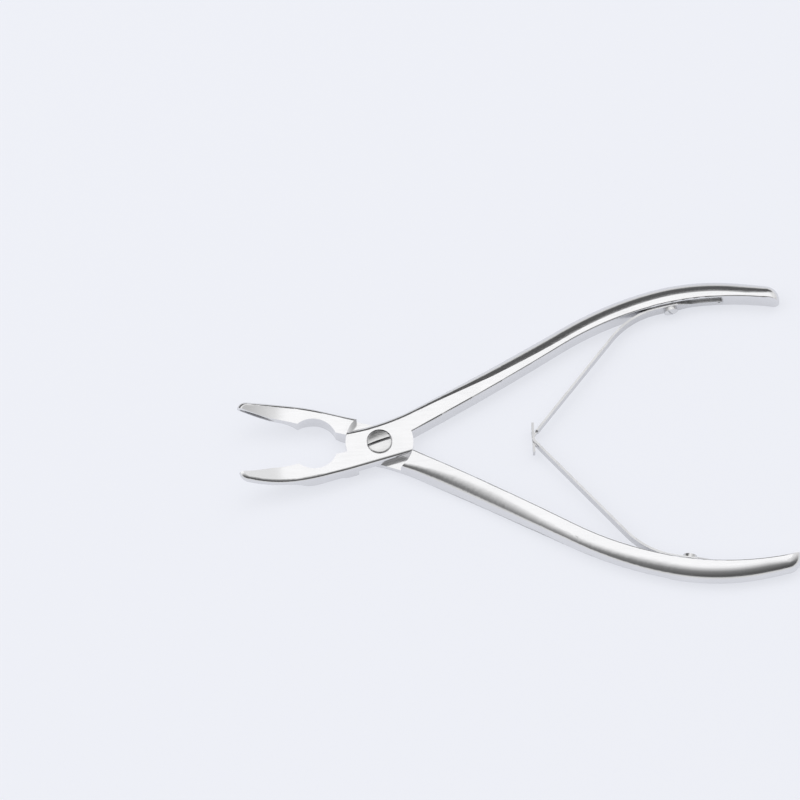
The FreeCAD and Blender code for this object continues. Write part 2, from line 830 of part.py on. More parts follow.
def open_reach(reach):
    """Where a point of the leaf's seat lies along X once the lever is open."""
    return turn_point(on_leaf(reach, size("leaf_thickness") / 2), size("half_opening")).x


def leaf_spring(name, side, slotted):
    """A leaf spring; one leaf's tab ends in a T head on a neck and the other's has the slot that the neck crosses."""
    body = new_body(name)
    level = size("leaf_level")
    outline = add_sketch(body, name + "_outline", "XY_Plane")
    bind(outline, "AttachmentOffset.Base.z", "sizes.leaf_level")
    draw(outline, mirrored(strip(leaf_line(), size("leaf_thickness")), side))
    pad = body.newObject("PartDesign::Pad", name + "_strip")
    pad.Profile = outline
    pad.Midplane = True
    bind(pad, "Length", "sizes.leaf_root_width")
    body.Tip = pad
    doc.recompute()
    for label, up in (("above", 1), ("below", -1)):
        waste = add_sketch(body, f"{name}_{label}", "XZ_Plane")
        draw(waste, leaf_side_profile(up))
        add_pocket(body, f"{name}_{label}_cut", waste)

    for label, overhang, radius in (
        ("screw", 0.0, "sizes.spring_screw_diameter / 2 + sizes.spring_screw_gap"),
        ("pin", size("pin_overhang"), "sizes.pin_diameter / 2 + sizes.pin_gap"),
    ):
        place, into = on_grip(size("spring_screw_reach") + overhang)
        seat = turn_point(sided(place, side), side * size("half_opening"))
        inward = turn_point(sided(into, side), side * size("half_opening"))
        add_bore(body, f"{name}_{label}_hole", raised(seat, level), inward, radius, "sizes.leaf_seat_gap")

    if slotted:
        add_joint_cut(body, name + "_slot", "leaf_slot", level - size("leaf_slot_width") / 2,
                      level + size("leaf_slot_width") / 2)
    else:
        half = size("leaf_neck_width") / 2
        add_joint_cut(body, name + "_neck_top", "leaf_neck", level + half, level + SPARE)
        add_joint_cut(body, name + "_neck_under", "leaf_neck", level - SPARE, level - half)
    return body


def add_joint_cut(body, name, kind, low, high):
    """Cuts the leaf's joint end between two heights, over the reach of the neck or of the slot."""
    reach = size(kind + "_reach")
    sketch = add_sketch(body, name + "_edge", "YZ_Plane")
    bind(sketch, "AttachmentOffset.Base.z", "sizes.leaf_joint_reach - sizes.leaf_joint_zone / 2")
    first = Vector(-reach, low, 0)
    draw(sketch, corners_to(first, [(reach, low), (reach, high), (-reach, high)], first))
    add_pocket(body, name, sketch, "sizes.leaf_joint_zone", upwards=True)


PIECES = [
    lever("top_lever", 1, True),
    lever("bottom_lever", -1, False),
    pivot_screw(),
    leaf_spring("hooked_leaf_spring", 1, False),
    leaf_spring("slotted_leaf_spring", -1, True),
    spring_screw("top_spring_screw", 1),
    spring_screw("bottom_spring_screw", -1),
    locating_pin("top_locating_pin", 1),
    locating_pin("bottom_locating_pin", -1),
]

doc.recompute()
for item in doc.Objects:
    if "Invalid" in item.State or "Error" in item.State:
        raise RuntimeError(f"{item.Name} did not build")
for piece in PIECES:
    if piece.Shape.isNull() or not piece.Shape.isValid() or len(piece.Shape.Solids) != 1:
        raise RuntimeError(f"{piece.Label} is not one sound solid")
for piece in PIECES:
    piece.Shape.exportStep(f"parts/{piece.Label}.step")
    print(f"{piece.Label}: {piece.Shape.Volume:.1f} mm3")
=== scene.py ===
import math
import bmesh
import bpy
from mathutils import Matrix, Vector


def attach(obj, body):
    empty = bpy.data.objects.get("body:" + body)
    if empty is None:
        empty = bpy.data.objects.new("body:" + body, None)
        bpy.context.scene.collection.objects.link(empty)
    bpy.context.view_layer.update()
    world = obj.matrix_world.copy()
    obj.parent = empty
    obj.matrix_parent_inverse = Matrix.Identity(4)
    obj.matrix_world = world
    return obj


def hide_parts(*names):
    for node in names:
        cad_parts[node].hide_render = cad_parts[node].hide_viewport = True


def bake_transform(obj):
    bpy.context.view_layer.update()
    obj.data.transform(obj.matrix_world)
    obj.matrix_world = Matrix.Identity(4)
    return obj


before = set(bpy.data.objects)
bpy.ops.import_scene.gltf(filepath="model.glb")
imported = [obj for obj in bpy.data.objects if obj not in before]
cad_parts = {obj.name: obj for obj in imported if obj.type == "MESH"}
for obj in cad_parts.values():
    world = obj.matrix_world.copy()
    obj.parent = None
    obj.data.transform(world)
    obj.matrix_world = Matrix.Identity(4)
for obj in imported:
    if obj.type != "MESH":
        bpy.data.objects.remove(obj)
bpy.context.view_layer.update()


# The camera stands in front of the table and looks steeply down at the instrument.
# It stands well back with a long lens, so that the far handle looks hardly smaller than the near one.

camera_elevation = 67
camera_azimuth = -2.73
camera_distance = 1.6
pixel_size = 0.353e-3
pivot_top = Vector((0, 0, 0.0086))
pivot_pixel = (379.5, 440.8)
picture_width = 800
film_width = 36

rise = math.radians(camera_elevation)
swing = math.radians(camera_azimuth)
view_back = Vector((math.sin(swing) * math.cos(rise), -math.cos(swing) * math.cos(rise), math.sin(rise)))
view_right = Vector((math.cos(swing), math.sin(swing), 0))
view_up = view_back.cross(view_right)
lens = bpy.data.cameras.new("camera")
lens.sensor_width = film_width
lens.lens = camera_distance / pixel_size * lens.sensor_width / picture_width
pivot_right = (pivot_pixel[0] - picture_width / 2) * pixel_size
pivot_down = (pivot_pixel[1] - picture_width / 2) * pixel_size
eye = pivot_top - pivot_right * view_right + pivot_down * view_up + camera_distance * view_back
camera = bpy.data.objects.new("camera", lens)
camera.matrix_world = (Matrix.Translation(eye)
                       @ Matrix((view_right, view_up, view_back)).transposed().to_4x4())
bpy.context.scene.collection.objects.link(camera)
bpy.context.scene.camera = camera


# The table is a pale, faintly blue sheet of matt card that runs on far past the picture.
# The instrument lies on it. Part of its paleness is a glow that shows only where the card is looked at,
# straight or in the steel, so that it stays even and its shadows soft.

table_colour = (0.835, 0.85, 0.905)
table_glow = 0.76
table_roughness = 0.8
table_shine = 0.0
table_half = 3.0
table_drop = 0.0001

table_corners = [(x * table_half, y * table_half, -table_drop)
                 for x, y in ((-1, -1), (1, -1), (1, 1), (-1, 1))]
table_mesh = bpy.data.meshes.new("table")
table_mesh.from_pydata(table_corners, [], [(0, 1, 2, 3)])
table = bpy.data.objects.new("table", table_mesh)
bpy.context.scene.collection.objects.link(table)
table_material = bpy.data.materials.new("table_card")
table_material.use_nodes = True
table_nodes = table_material.node_tree.nodes
table_join = table_material.node_tree.links.new
table_shader = table_nodes["Principled BSDF"]
table_shader.inputs["Base Color"].default_value = (*table_colour, 1)
table_shader.inputs["Roughness"].default_value = table_roughness
table_shader.inputs["Specular IOR Level"].default_value = table_shine
table_white = table_nodes.new("ShaderNodeEmission")
table_white.inputs["Color"].default_value = (*table_colour, 1)
sight = table_nodes.new("ShaderNodeLightPath")
seen_or_mirrored = table_nodes.new("ShaderNodeMath")
seen_or_mirrored.operation = "MAXIMUM"
seen_at_all = table_nodes.new("ShaderNodeMath")
seen_at_all.operation = "MAXIMUM"
glow = table_nodes.new("ShaderNodeMath")
glow.operation = "MULTIPLY"
glow.inputs[1].default_value = table_glow
table_mix = table_nodes.new("ShaderNodeMixShader")
table_join(sight.outputs["Is Camera Ray"], seen_or_mirrored.inputs[0])
table_join(sight.outputs["Is Glossy Ray"], seen_or_mirrored.inputs[1])
table_join(seen_or_mirrored.outputs[0], seen_at_all.inputs[0])
table_join(sight.outputs["Is Transmission Ray"], seen_at_all.inputs[1])
table_join(seen_at_all.outputs[0], glow.inputs[0])
table_join(glow.outputs[0], table_mix.inputs["Fac"])
table_join(table_shader.outputs[0], table_mix.inputs[1])
table_join(table_white.outputs[0], table_mix.inputs[2])
table_join(table_mix.outputs[0], table_nodes["Material Output"].inputs["Surface"])
table_mesh.materials.append(table_material)


# Three soft lamps light the card: a window high above, a wide ceiling and a panel at the left.
# The steel doesn't show them. It mirrors the room: pale near the table's level and dark above that, with a
# bright strip overhead that grows from the front, ends sharply at the back and is dimmer at its right end.

window_distance = 1.7
window_way = Vector((-0.05, 0.31, 0.95))
window_target = (0.04, 0, 0)
lamp_target = (0, 0, 0)


def soft_box(name, place, target, width, height, brightness):
    """A rectangular lamp, as bright as a surface of that level, that the steel doesn't show."""
    light = bpy.data.lights.new(name, "AREA")
    light.shape = "RECTANGLE"
    light.size = width
    light.size_y = height
    light.energy = brightness * math.pi * width * height
    item = bpy.data.objects.new(name, light)
    item.location = place
    item.rotation_euler = (Vector(target) - Vector(place)).to_track_quat("-Z", "Y").to_euler()
    item.visible_glossy = False
    bpy.context.scene.collection.objects.link(item)


soft_box("window", window_way * window_distance, window_target, width=1.3, height=0.70, brightness=1.16)
soft_box("ceiling", (0, 0, 2.2), lamp_target, width=4.5, height=4.5, brightness=0.62)
soft_box("left_panel", (-1.5, 0.9, 1.5), lamp_target, width=1.6, height=1.6, brightness=0.9)

# Heights in the room run from 0 at the table's level to 1 overhead, and places from -1 at the front or the
# left to 1 at the back or the right. The strip's profile pairs a place with the share of its brightness there.
pale_below = 0.20
dark_above = 0.34
room_pale = 0.85
strip_profile = ((-0.85, 0.09), (-0.45, 0.20), (0.0, 0.75), (0.15, 1.0), (0.48, 1.0), (0.54, 0.09))
strip_slant = -0.35
strip_level = 1.26
right_end = (0.30, 0.40)
right_level = 0.78
room_colour = (1.0, 1.0, 1.0)

world = bpy.data.worlds.new("room")
bpy.context.scene.world = world
world.use_nodes = True
room = world.node_tree
room.nodes.clear()
room_join = room.links.new
direction = room.nodes.new("ShaderNodeTexCoord")
parts = room.nodes.new("ShaderNodeSeparateXYZ")
room_join(direction.outputs["Generated"], parts.inputs[0])


def room_range(value, low, high, at_low, at_high):
    """A level that changes evenly while a coordinate of the room goes from low to high."""
    made = room.nodes.new("ShaderNodeMapRange")
    made.inputs["From Min"].default_value = low
    made.inputs["From Max"].default_value = high
    made.inputs["To Min"].default_value = at_low
    made.inputs["To Max"].default_value = at_high
    room_join(value, made.inputs["Value"])
    return made.outputs["Result"]


near_table = room_range(parts.outputs["Z"], pale_below, dark_above, 1, 0)
right_dimming = room_range(parts.outputs["X"], *right_end, strip_level, strip_level * right_level)
slant = room.nodes.new("ShaderNodeMath")
slant.operation = "MULTIPLY_ADD"
slant.inputs[1].default_value = strip_slant
room_join(parts.outputs["X"], slant.inputs[0])
room_join(parts.outputs["Y"], slant.inputs[2])
strip = room.nodes.new("ShaderNodeValToRGB")
stops = strip.color_ramp.elements
stops_at_first = len(stops)
for number, (place, level) in enumerate(strip_profile):
    stop = stops[number] if number < stops_at_first else stops.new(1)
    stop.position = (place + 1) / 2
    stop.color = (level, level, level, 1)
room_join(room_range(slant.outputs[0], -1, 1, 0, 1), strip.inputs["Fac"])
dimmed = room.nodes.new("ShaderNodeMath")
dimmed.operation = "MULTIPLY"
room_join(strip.outputs["Color"], dimmed.inputs[0])
room_join(right_dimming, dimmed.inputs[1])
levels = room.nodes.new("ShaderNodeMix")
levels.inputs["B"].default_value = room_pale
room_join(near_table, levels.inputs["Factor"])
room_join(dimmed.outputs[0], levels.inputs["A"])
background = room.nodes.new("ShaderNodeBackground")
background.inputs["Color"].default_value = (*room_colour, 1)
room_join(levels.outputs["Result"], background.inputs["Strength"])
output = room.nodes.new("ShaderNodeOutputWorld")
room_join(background.outputs[0], output.inputs[0])


# The two levers are drop-forged from stainless steel, ground on their flats and polished bright all over.
# Each is one piece from its cupped jaw to its handle, and the two cross in a half lap at the hub.
# Polishing leaves the handle's back rounder and a little slimmer, from behind the hub to near the tail.

marks_range = (0.3, 0.7)
marks_detail = 3
clouds_detail = 2
tint_bright, tint_shade, tint_mixed = 6, 7, 2


def polishing_marks():
    """A shader group: fine marks drawn out along X, and broad clouds of slightly duller metal."""
    group = bpy.data.node_groups.new("polishing_marks", "ShaderNodeTree")
    group.interface.new_socket(name="Vector", in_out="INPUT", socket_type="NodeSocketVector")
    for name, way in (("Fineness", "INPUT"), ("Stretch", "INPUT"), ("Cloud Size", "INPUT"),
                      ("Marks", "OUTPUT"), ("Clouds", "OUTPUT")):
        group.interface.new_socket(name=name, in_out=way, socket_type="NodeSocketFloat")
    entry = group.nodes.new("NodeGroupInput")
    result = group.nodes.new("NodeGroupOutput")
    shorten = group.nodes.new("ShaderNodeVectorMath")
    shorten.operation = "MULTIPLY"
    squeeze = group.nodes.new("ShaderNodeCombineXYZ")
    squeeze.inputs["Y"].default_value = 1
    squeeze.inputs["Z"].default_value = 1
    fine = group.nodes.new("ShaderNodeTexNoise")
    fine.inputs["Detail"].default_value = marks_detail
    broad = group.nodes.new("ShaderNodeTexNoise")
    broad.inputs["Detail"].default_value = clouds_detail
    join = group.links.new
    join(entry.outputs["Stretch"], squeeze.inputs["X"])
    join(entry.outputs["Vector"], shorten.inputs[0])
    join(squeeze.outputs[0], shorten.inputs[1])
    join(shorten.outputs[0], fine.inputs["Vector"])
    join(entry.outputs["Fineness"], fine.inputs["Scale"])
    join(entry.outputs["Vector"], broad.inputs["Vector"])
    join(entry.outputs["Cloud Size"], broad.inputs["Scale"])
    join(fine.outputs["Fac"], result.inputs["Marks"])
    join(broad.outputs["Fac"], result.inputs["Clouds"])
    return group


marks_group = polishing_marks()


def steel(name, bright, shade, roughness, mark_depth, fineness, stretch, cloud_size, coordinates="Object"):
    """A steel whose colour drifts in broad clouds and whose gloss follows fine marks."""
    material = bpy.data.materials.new(name)
    material.use_nodes = True
    nodes = material.node_tree.nodes
    join = material.node_tree.links.new
    shader = nodes["Principled BSDF"]
    place = nodes.new("ShaderNodeTexCoord")
    marks = nodes.new("ShaderNodeGroup")
    marks.node_tree = marks_group
    marks.inputs["Fineness"].default_value = fineness
    marks.inputs["Stretch"].default_value = stretch
    marks.inputs["Cloud Size"].default_value = cloud_size
    tint = nodes.new("ShaderNodeMix")
    tint.data_type = "RGBA"
    tint.inputs[tint_bright].default_value = (*bright, 1)
    tint.inputs[tint_shade].default_value = (*shade, 1)
    gloss = nodes.new("ShaderNodeMapRange")
    gloss.inputs["From Min"].default_value = marks_range[0]
    gloss.inputs["From Max"].default_value = marks_range[1]
    gloss.inputs["To Min"].default_value = roughness[0]
    gloss.inputs["To Max"].default_value = roughness[1]
    relief = nodes.new("ShaderNodeBump")
    relief.inputs["Distance"].default_value = mark_depth
    join(place.outputs[coordinates], marks.inputs["Vector"])
    join(marks.outputs["Clouds"], tint.inputs[0])
    join(marks.outputs["Marks"], gloss.inputs["Value"])
    join(marks.outputs["Marks"], relief.inputs["Height"])
    join(tint.outputs[tint_mixed], shader.inputs["Base Color"])
    join(gloss.outputs["Result"], shader.inputs["Roughness"])
    join(relief.outputs["Normal"], shader.inputs["Normal"])
    shader.inputs["Metallic"].default_value = 1
    return material


lever_steel = steel("polished_lever_steel", bright=(0.80, 0.80, 0.81), shade=(0.72, 0.72, 0.73),
                    roughness=(0.13, 0.21), mark_depth=0.000002, fineness=1800, stretch=0.06, cloud_size=70)

handle_height = 0.008
handle_middle = handle_height / 2
forged_rounding = 0.0033
polished_rounding = 0.0049
polished_rounding_height = 0.0039
polished_off = 0.0005
rounder_from = 0.012
rounder_by = 0.045
slimmer_from = 0.045
slimmer_by = 0.080
tail_from = 0.132
tail_by = 0.146
# The back is told from the rest by where a corner of the forging lies and which way it faces.
clear_of_screw = 0.0055
least_lean = 0.1
least_outward = 0.25
holes_from = 0.09
least_rounding = 0.0011
depth_slack = 0.00045
same_place_digits = 7


def eased(value, start, end):
    """Goes smoothly from 0 at the start to 1 at the end."""
    share = min(max((value - start) / (end - start), 0.0), 1.0)
    return share * share * (3 - 2 * share)


def on_back(place, normal, side):
    """Whether a triangle's corner lies on the rounded back: past holes_from a hole's wall leans outwards too,
    and there the corner's depth below the flat has to fit the way that it faces."""
    outward = Vector((normal.x, normal.y, 0))
    if place.x < rounder_from or place.y * side < clear_of_screw:
        return False
    if outward.length < least_lean or outward.y * side < least_outward * outward.length:
        return False
    if place.x < holes_from:
        return True
    depth = handle_middle - abs(place.z - handle_middle)
    turned = 1 - abs(normal.z)
    return least_rounding * turned - depth_slack < depth < forged_rounding * turned + depth_slack


def polished(place, outward, lean_out, up):
    """Where a point of the forged back lies once polished, and the way that it then faces."""
    before_tail = 1 - eased(place.x, tail_from, tail_by)
    rounder = eased(place.x, rounder_from, rounder_by) * before_tail
    slimmer = eased(place.x, slimmer_from, slimmer_by) * before_tail
    across = rounder * (polished_rounding - forged_rounding)
    down = rounder * (polished_rounding_height - forged_rounding)
    lean_up = math.sqrt(max(0.0, 1 - lean_out * lean_out))
    moved = place - outward * (slimmer * polished_off + across * (1 - lean_out))
    moved.z -= up * down * (1 - lean_up)
    facing = outward * lean_out / (forged_rounding + across)
    facing += Vector((0, 0, up * lean_up / (forged_rounding + down)))
    return moved, facing.normalized()


def polished_lever(name, node, side, body):
    """The forged lever with its handle's back polished rounder: side is 1 for the handle on the +Y side."""
    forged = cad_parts[node].data
    facings = [normal.vector.copy() for normal in forged.corner_normals]
    outwards = [Vector((facing.x, facing.y, 0)) for facing in facings]
    places = [forged.vertices[loop.vertex_index].co.copy() for loop in forged.loops]
    keys = [tuple(round(value, same_place_digits) for value in place) for place in places]
    back = {corner for corner in range(len(places)) if on_back(places[corner], facings[corner], side)}
    moves = {keys[corner]: (outwards[corner].normalized(), outwards[corner].length,
                            math.copysign(1, facings[corner].z)) for corner in back}
    # A corner of a flat that meets the back moves with it.
    for triangle in forged.polygons:
        on = [corner for corner in triangle.loop_indices if corner in back]
        for corner in triangle.loop_indices:
            if on and keys[corner] not in moves and outwards[corner].length < least_lean:
                nearest = min(on, key=lambda other: (places[other] - places[corner]).length)
                moves[keys[corner]] = (outwards[nearest].normalized(), outwards[corner].length,
                                       math.copysign(1, facings[corner].z))

    # The forging's triangles are joined at their shared places, and slivers that close up are left out.
    points, numbers, faces, normals = [], {}, [], []
    for triangle in forged.polygons:
        corners = []
        for corner in triangle.loop_indices:
            place = places[corner]
            key = keys[corner]
            if key in moves:
                place, facing = polished(place, *moves[key])
                if corner in back:
                    facings[corner] = facing
            if key not in numbers:
                numbers[key] = len(points)
                points.append(place)
            corners.append(numbers[key])
        if len(set(corners)) == 3:
            faces.append(corners)
            normals += [facings[corner] for corner in triangle.loop_indices]
    mesh = bpy.data.meshes.new(name)
    mesh.from_pydata(points, [], faces)
    mesh.shade_smooth()
    mesh.normals_split_custom_set(normals)
    mesh.materials.append(lever_steel)
    lever = bpy.data.objects.new(name, mesh)
    bpy.context.scene.collection.objects.link(lever)
    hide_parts(node)
    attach(lever, body)


polished_lever("upper_lever", "top_lever", 1, "top_half")
polished_lever("lower_lever", "bottom_lever", -1, "bottom_half")


# The pivot screw is turned from stainless bar: a thread's core, a plain shank and a low head, sunk into the
# top lever, with a bevelled rim, a slight crown and a slot for a driver. It is duller than the levers.
# The slot is rougher, because no polishing wheel reaches into it, and its colour is darkened as painted shade
# in that recess.

screw_steel = steel("turned_screw_steel", bright=(0.76, 0.76, 0.76), shade=(0.66, 0.66, 0.67),
                    roughness=(0.16, 0.28), mark_depth=0.000001, fineness=2600, stretch=0.12, cloud_size=260)
# Painted shade: the slot's steel is given a much darker colour to stand in for the shade inside the slot.
painted_shade_slot_steel = steel("screw_slot_painted_shade", bright=(0.30, 0.30, 0.31), shade=(0.22, 0.22, 0.23),
                   roughness=(0.35, 0.50), mark_depth=0.000006, fineness=2500, stretch=1.0, cloud_size=300)

screw_foot = 0.00015
screw_thread_radius = 0.00225
screw_step = 0.004
screw_shank_radius = 0.0025
screw_head_radius = 0.00442
screw_head_under = 0.0065
screw_rim = 0.00775
screw_bevel = 0.00042
screw_top = 0.0085
screw_dome_steps = 8
screw_sides = 120
screw_slot_width = 0.00100
screw_slot_depth = 0.00095
screw_slot_turn = 18.0
screw_slot_reach = 3 * screw_head_radius
sharp_above = 25


def turned_solid(name, outline, material):
    """A solid of revolution about Z from (radius, height) points that start and end on the axis."""
    shape = bmesh.new()
    rings = []
    for radius, height in outline:
        if radius == 0:
            rings.append([shape.verts.new((0, 0, height))])
        else:
            angles = [2 * math.pi * number / screw_sides for number in range(screw_sides)]
            rings.append([shape.verts.new((radius * math.cos(angle), radius * math.sin(angle), height))
                          for angle in angles])
    for low, high in zip(rings, rings[1:]):
        for number in range(screw_sides):
            corners = [low[number % len(low)], low[(number + 1) % len(low)],
                       high[(number + 1) % len(high)], high[number % len(high)]]
            shape.faces.new(list(dict.fromkeys(corners)))
    bmesh.ops.recalc_face_normals(shape, faces=shape.faces)
    mesh = bpy.data.meshes.new(name)
    shape.to_mesh(mesh)
    shape.free()
    mesh.materials.append(material)
    piece = bpy.data.objects.new(name, mesh)
    bpy.context.scene.collection.objects.link(piece)
    return piece


crown_radius = screw_head_radius - screw_bevel
crown_rise = screw_top - screw_rim - screw_bevel
crown_shares = [1 - step / screw_dome_steps for step in range(screw_dome_steps + 1)]
crown = [(crown_radius * share, screw_top - crown_rise * share ** 2) for share in crown_shares]
big_screw = turned_solid("big_pivot_screw", [
    (0, screw_foot), (screw_thread_radius, screw_foot), (screw_thread_radius, screw_step),
    (screw_shank_radius, screw_step), (screw_shank_radius, screw_head_under),
    (screw_head_radius, screw_head_under), (screw_head_radius, screw_rim), *crown], screw_steel)
# The slot's cutter is centred on the crown's top, so half of it stands above the screw.
slot_mesh = bpy.data.meshes.new("driver_slot")
slot_shape = bmesh.new()
bmesh.ops.create_cube(slot_shape, size=1)
slot_shape.transform(Matrix.Translation((0, 0, screw_top))
                     @ Matrix.Rotation(math.radians(screw_slot_turn), 4, "Z")
                     @ Matrix.Diagonal((screw_slot_reach, screw_slot_width, 2 * screw_slot_depth, 1)))
slot_shape.to_mesh(slot_mesh)
slot_shape.free()
# The cutter carries the painted-shade steel, and the boolean passes it to the slot's walls and floor.
slot_mesh.materials.append(painted_shade_slot_steel)
slot_cutter = bpy.data.objects.new("driver_slot", slot_mesh)
bpy.context.scene.collection.objects.link(slot_cutter)
slotting = big_screw.modifiers.new("slot", "BOOLEAN")
slotting.operation = "DIFFERENCE"
slotting.solver = "EXACT"
slotting.material_mode = "TRANSFER"
slotting.object = slot_cutter
slotted = bpy.data.meshes.new_from_object(big_screw.evaluated_get(bpy.context.evaluated_depsgraph_get()))
big_screw.modifiers.clear()
big_screw.data = slotted
bpy.data.objects.remove(slot_cutter)
slotted.shade_smooth()
slotted.set_sharp_from_angle(angle=math.radians(sharp_above))
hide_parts("pivot_screw")
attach(big_screw, "bottom_half")


# Each leaf spring is a strip of spring steel, held to its handle by a screw and a pin near its tail.
# It bends off the handle, runs straight to the middle and turns into a tab, where the two leaves hook.
# The leaf of the top handle ends in a T head on a neck, and the other has the slot that the neck crosses.

leaf_level = 0.004
leaf_thickness = 0.0008
leaf_root_width = 0.0052
leaf_tail_width = 0.0026
leaf_front_width = 0.0036
leaf_root_reach = 0.0026
leaf_taper_reach = 0.008
leaf_tail_point = Vector((0.12568, 0.04993, leaf_level))
leaf_tail_heading = 179.43
leaf_seat_bend = (0.10756, 12.94)
leaf_lift_bend = (0.030, 37.75)
leaf_straight = 0.0468
leaf_corner_bend = (0.002, 39.88)
leaf_tab = 0.00577
leaf_screw_at = 0.01934
leaf_screw_hole = 0.00155
leaf_pin_at = 0.00154
leaf_pin_hole = 0.00062
leaf_joint = Vector((0.0545, 0, leaf_level))
leaf_steps = 330
leaf_rows = 5
leaf_tail_end = 0.01
arc_step = 2.0
hole_sides = 40
hole_cutter_length = 0.004
neck_cuts = {"Cuts": 2, "Cut Spacing": 0.0055, "Cut Size": (0.006, 0.0052, 0.004)}
slot_cuts = {"Cuts": 1, "Cut Spacing": 0.0, "Cut Size": (0.006, 0.0056, 0.002)}


def leaf_path(name, side):
    """The centre line of a leaf from its tail: arcs given by (radius, turn) and straight runs by length."""
    heading = math.radians(leaf_tail_heading)
    place = leaf_tail_point.copy()
    points = [place.copy()]
    for run in (leaf_seat_bend, leaf_lift_bend, leaf_straight, leaf_corner_bend, leaf_tab):
        radius, turn = run if isinstance(run, tuple) else (None, 0)
        steps = max(1, round(turn / arc_step))
        chord = 2 * radius * math.sin(math.radians(turn / steps) / 2) if radius else run
        for _ in range(steps):
            heading += math.radians(turn / steps) / 2
            place += Vector((math.cos(heading), math.sin(heading), 0)) * chord
            heading += math.radians(turn / steps) / 2
            points.append(place.copy())
    curve = bpy.data.curves.new(name, "CURVE")
    curve.dimensions = "3D"
    spline = curve.splines.new("POLY")
    spline.points.add(len(points) - 1)
    for point, target in zip(spline.points, points):
        point.co = (target.x, target.y * side, target.z, 1)
    item = bpy.data.objects.new(name, curve)
    bpy.context.scene.collection.objects.link(item)
    return item


def leaf_tree():
    """A strip along a path, wide at its screw and round at its tail, with two holes and a joint's cuts."""
    tree = bpy.data.node_groups.new("leaf_strip", "GeometryNodeTree")
    for name, kind in (("Path", "Object"), ("Steps", "Int"), ("Thickness", "Float"), ("Tail Width", "Float"),
                       ("Root Width", "Float"), ("Front Width", "Float"), ("Screw At", "Float"),
                       ("Root Reach", "Float"), ("Taper Reach", "Float"), ("Pin At", "Float"),
                       ("Screw Hole", "Float"), ("Pin Hole", "Float"), ("Joint", "Vector"), ("Cuts", "Int"),
                       ("Cut Spacing", "Float"), ("Cut Size", "Vector"), ("Material", "Material")):
        tree.interface.new_socket(name=name, in_out="INPUT", socket_type="NodeSocket" + kind)
    tree.interface.new_socket(name="Geometry", in_out="OUTPUT", socket_type="NodeSocketGeometry")
    entry = tree.nodes.new("NodeGroupInput")
    join = tree.links.new

    def node(kind, **settings):
        """A new node of the tree."""
        made = tree.nodes.new(kind)
        for key, value in settings.items():
            setattr(made, key, value)
        return made

    def calc(operation, first, second=None):
        """The result of a sum with sockets or plain numbers."""
        made = node("ShaderNodeMath", operation=operation)
        for socket, value in zip(made.inputs, (first, second)):
            if isinstance(value, bpy.types.NodeSocket):
                join(value, socket)
            elif value is not None:
                socket.default_value = value
        return made.outputs[0]

    def scaled(vector, factor):
        made = node("ShaderNodeVectorMath", operation="SCALE")
        join(vector, made.inputs[0])
        join(factor, made.inputs["Scale"])
        return made.outputs[0]

    def added(first, second):
        made = node("ShaderNodeVectorMath", operation="ADD")
        join(first, made.inputs[0])
        join(second, made.inputs[1])
        return made.outputs[0]

    def on_path(length):
        """The place and the sideways direction of the path at a length from its start."""
        made = node("GeometryNodeSampleCurve", mode="LENGTH", use_all_curves=True)
        join(path.outputs["Geometry"], made.inputs["Curves"])
        join(length, made.inputs["Length"])
        turn = node("ShaderNodeVectorMath", operation="CROSS_PRODUCT")
        turn.inputs[0].default_value = (0, 0, 1)
        join(made.outputs["Tangent"], turn.inputs[1])
        return made.outputs["Position"], turn.outputs[0]

    def between(value, low, high, at_low, at_high):
        made = node("ShaderNodeMapRange")
        for socket, source in zip(("Value", "From Min", "From Max", "To Min", "To Max"),
                                  (value, low, high, at_low, at_high)):
            join(source, made.inputs[socket])
        return made.outputs["Result"]

    def round_cutter(length, radius):
        """A cylinder that crosses the strip squarely at a length along it."""
        place, sideways = on_path(length)
        rod = node("GeometryNodeMeshCylinder")
        rod.inputs["Vertices"].default_value = hole_sides
        rod.inputs["Depth"].default_value = hole_cutter_length
        join(radius, rod.inputs["Radius"])
        aim = node("FunctionNodeAlignRotationToVector", axis="Z")
        join(sideways, aim.inputs["Vector"])
        move = node("GeometryNodeTransform")
        join(rod.outputs["Mesh"], move.inputs["Geometry"])
        join(place, move.inputs["Translation"])
        join(aim.outputs["Rotation"], move.inputs["Rotation"])
        return move.outputs["Geometry"]

    path = node("GeometryNodeObjectInfo", transform_space="RELATIVE")
    join(entry.outputs["Path"], path.inputs["Object"])
    total = node("GeometryNodeCurveLength")
    join(path.outputs["Geometry"], total.inputs["Curve"])

    bar = node("GeometryNodeMeshCube")
    bar.inputs["Vertices Y"].default_value = 2
    bar.inputs["Vertices Z"].default_value = leaf_rows
    join(entry.outputs["Steps"], bar.inputs["Vertices X"])
    spot = node("GeometryNodeInputPosition")
    axes = node("ShaderNodeSeparateXYZ")
    join(spot.outputs[0], axes.inputs[0])
    along = calc("MULTIPLY", calc("ADD", axes.outputs["X"], 0.5), total.outputs["Length"])

    screw_at = entry.outputs["Screw At"]
    root_reach = entry.outputs["Root Reach"]
    to_root = between(along, calc("SUBTRACT", screw_at, entry.outputs["Taper Reach"]),
                      calc("SUBTRACT", screw_at, root_reach), entry.outputs["Tail Width"],
                      entry.outputs["Root Width"])
    from_root = between(along, calc("ADD", screw_at, root_reach), total.outputs["Length"],
                        entry.outputs["Root Width"], entry.outputs["Front Width"])
    tail_radius = calc("MULTIPLY", entry.outputs["Tail Width"], 0.5)
    short = calc("MAXIMUM", calc("SUBTRACT", 1.0, calc("DIVIDE", along, tail_radius)), 0.0)
    roundness = calc("SUBTRACT", 1.0, calc("MULTIPLY", short, short))
    tail_share = calc("SQRT", calc("MAXIMUM", roundness, leaf_tail_end))
    width = calc("MULTIPLY", calc("MINIMUM", to_root, from_root), tail_share)

